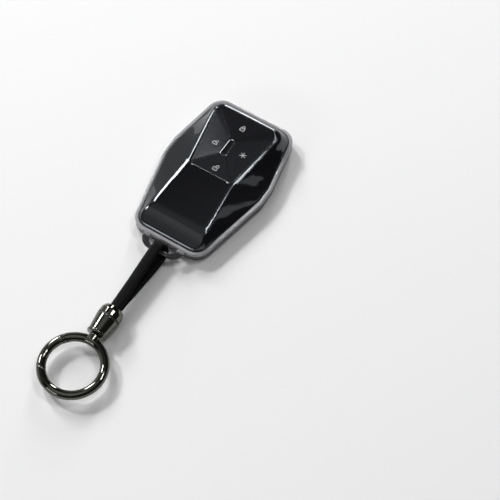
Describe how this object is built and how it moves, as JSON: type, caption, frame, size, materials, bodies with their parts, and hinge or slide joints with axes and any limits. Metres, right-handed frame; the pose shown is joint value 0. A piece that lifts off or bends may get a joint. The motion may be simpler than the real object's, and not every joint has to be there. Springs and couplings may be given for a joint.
{
  "type": "key fob cover",
  "caption": "Smoked soft-plastic cover for a car key remote, in two nesting shells with press buttons, on a short leather strap with a swivel barrel and a spring-gate ring.",
  "frame": {"origin": "on the flat back face, at the cover's widest line and on its middle line", "axes": "+Y along the cover to its button end, with strap and ring towards -Y; +Z out of the front face; +X to the right seen from the front"},
  "size_m": [0.0564, 0.1752, 0.0151],
  "materials": {
    "smoked_shell": "smoked glossy soft plastic, see-through where thin",
    "smoked_rim": "smoked glossy soft plastic, see-through at the rim",
    "smoked_button": "smoked glossy soft plastic with pale printed signs",
    "black_leather": "smooth black leather",
    "dark_metal": "polished black nickel",
    "black_rubber": "matt black",
    "spring_steel": "bright steel"
  },
  "bodies": {
    "back": {"back_cover": "smoked_rim"},
    "front": {"front_cover": "smoked_shell"},
    "lock": {"lock_button": "smoked_button"},
    "trunk": {"trunk_button": "smoked_button"},
    "light": {"light_button": "smoked_button"},
    "unlock": {"unlock_button": "smoked_button"},
    "tether": {"strap": "black_leather", "strap_ferrule": "spring_steel", "barrel_cap": "dark_metal", "barrel_band": "black_rubber", "barrel_body": "dark_metal", "barrel_collar": "dark_metal", "swivel_washer": "spring_steel"},
    "ring": {"swivel_post": "dark_metal", "ring_body": "dark_metal", "gate_pin": "dark_metal", "gate_spring": "spring_steel", "gate_plunger": "spring_steel"},
    "gate": {"ring_gate": "dark_metal"}
  },
  "joints": [
    {"name": "front_lift", "type": "slide", "parent": "back", "child": "front", "axis": [0, 0, 1], "range_m": [0, 0.03]},
    {"name": "lock_press", "type": "slide", "parent": "front", "child": "lock", "axis": [0, 0.0401, -0.9992], "range_m": [0, 0.0005], "stiffness_N_per_m": 1500},
    {"name": "trunk_press", "type": "slide", "parent": "front", "child": "trunk", "axis": [0, 0.0401, -0.9992], "range_m": [0, 0.0005], "stiffness_N_per_m": 1500},
    {"name": "light_press", "type": "slide", "parent": "front", "child": "light", "axis": [0, 0.0401, -0.9992], "range_m": [0, 0.0005], "stiffness_N_per_m": 1500},
    {"name": "unlock_press", "type": "slide", "parent": "front", "child": "unlock", "axis": [0, 0.0401, -0.9992], "range_m": [0, 0.0005], "stiffness_N_per_m": 1500},
    {"name": "strap_swing", "type": "hinge", "parent": "back", "child": "tether", "pos_m": [0, -0.0514, 0.00575], "axis": [-1, 0, 0], "range_deg": [-90, 90]},
    {"name": "ring_swivel", "type": "hinge", "parent": "tether", "child": "ring", "pos_m": [0, -0.1, 0.00575], "axis": [0, -1, 0], "continuous": true},
    {"name": "gate_swing", "type": "hinge", "parent": "ring", "child": "gate", "pos_m": [-0.01119, -0.11174, 0.00575], "axis": [0, 0, 1], "range_deg": [0, 28], "stiffness_Nm_per_rad": 0.02, "springref_deg": -20.05}
  ]
}
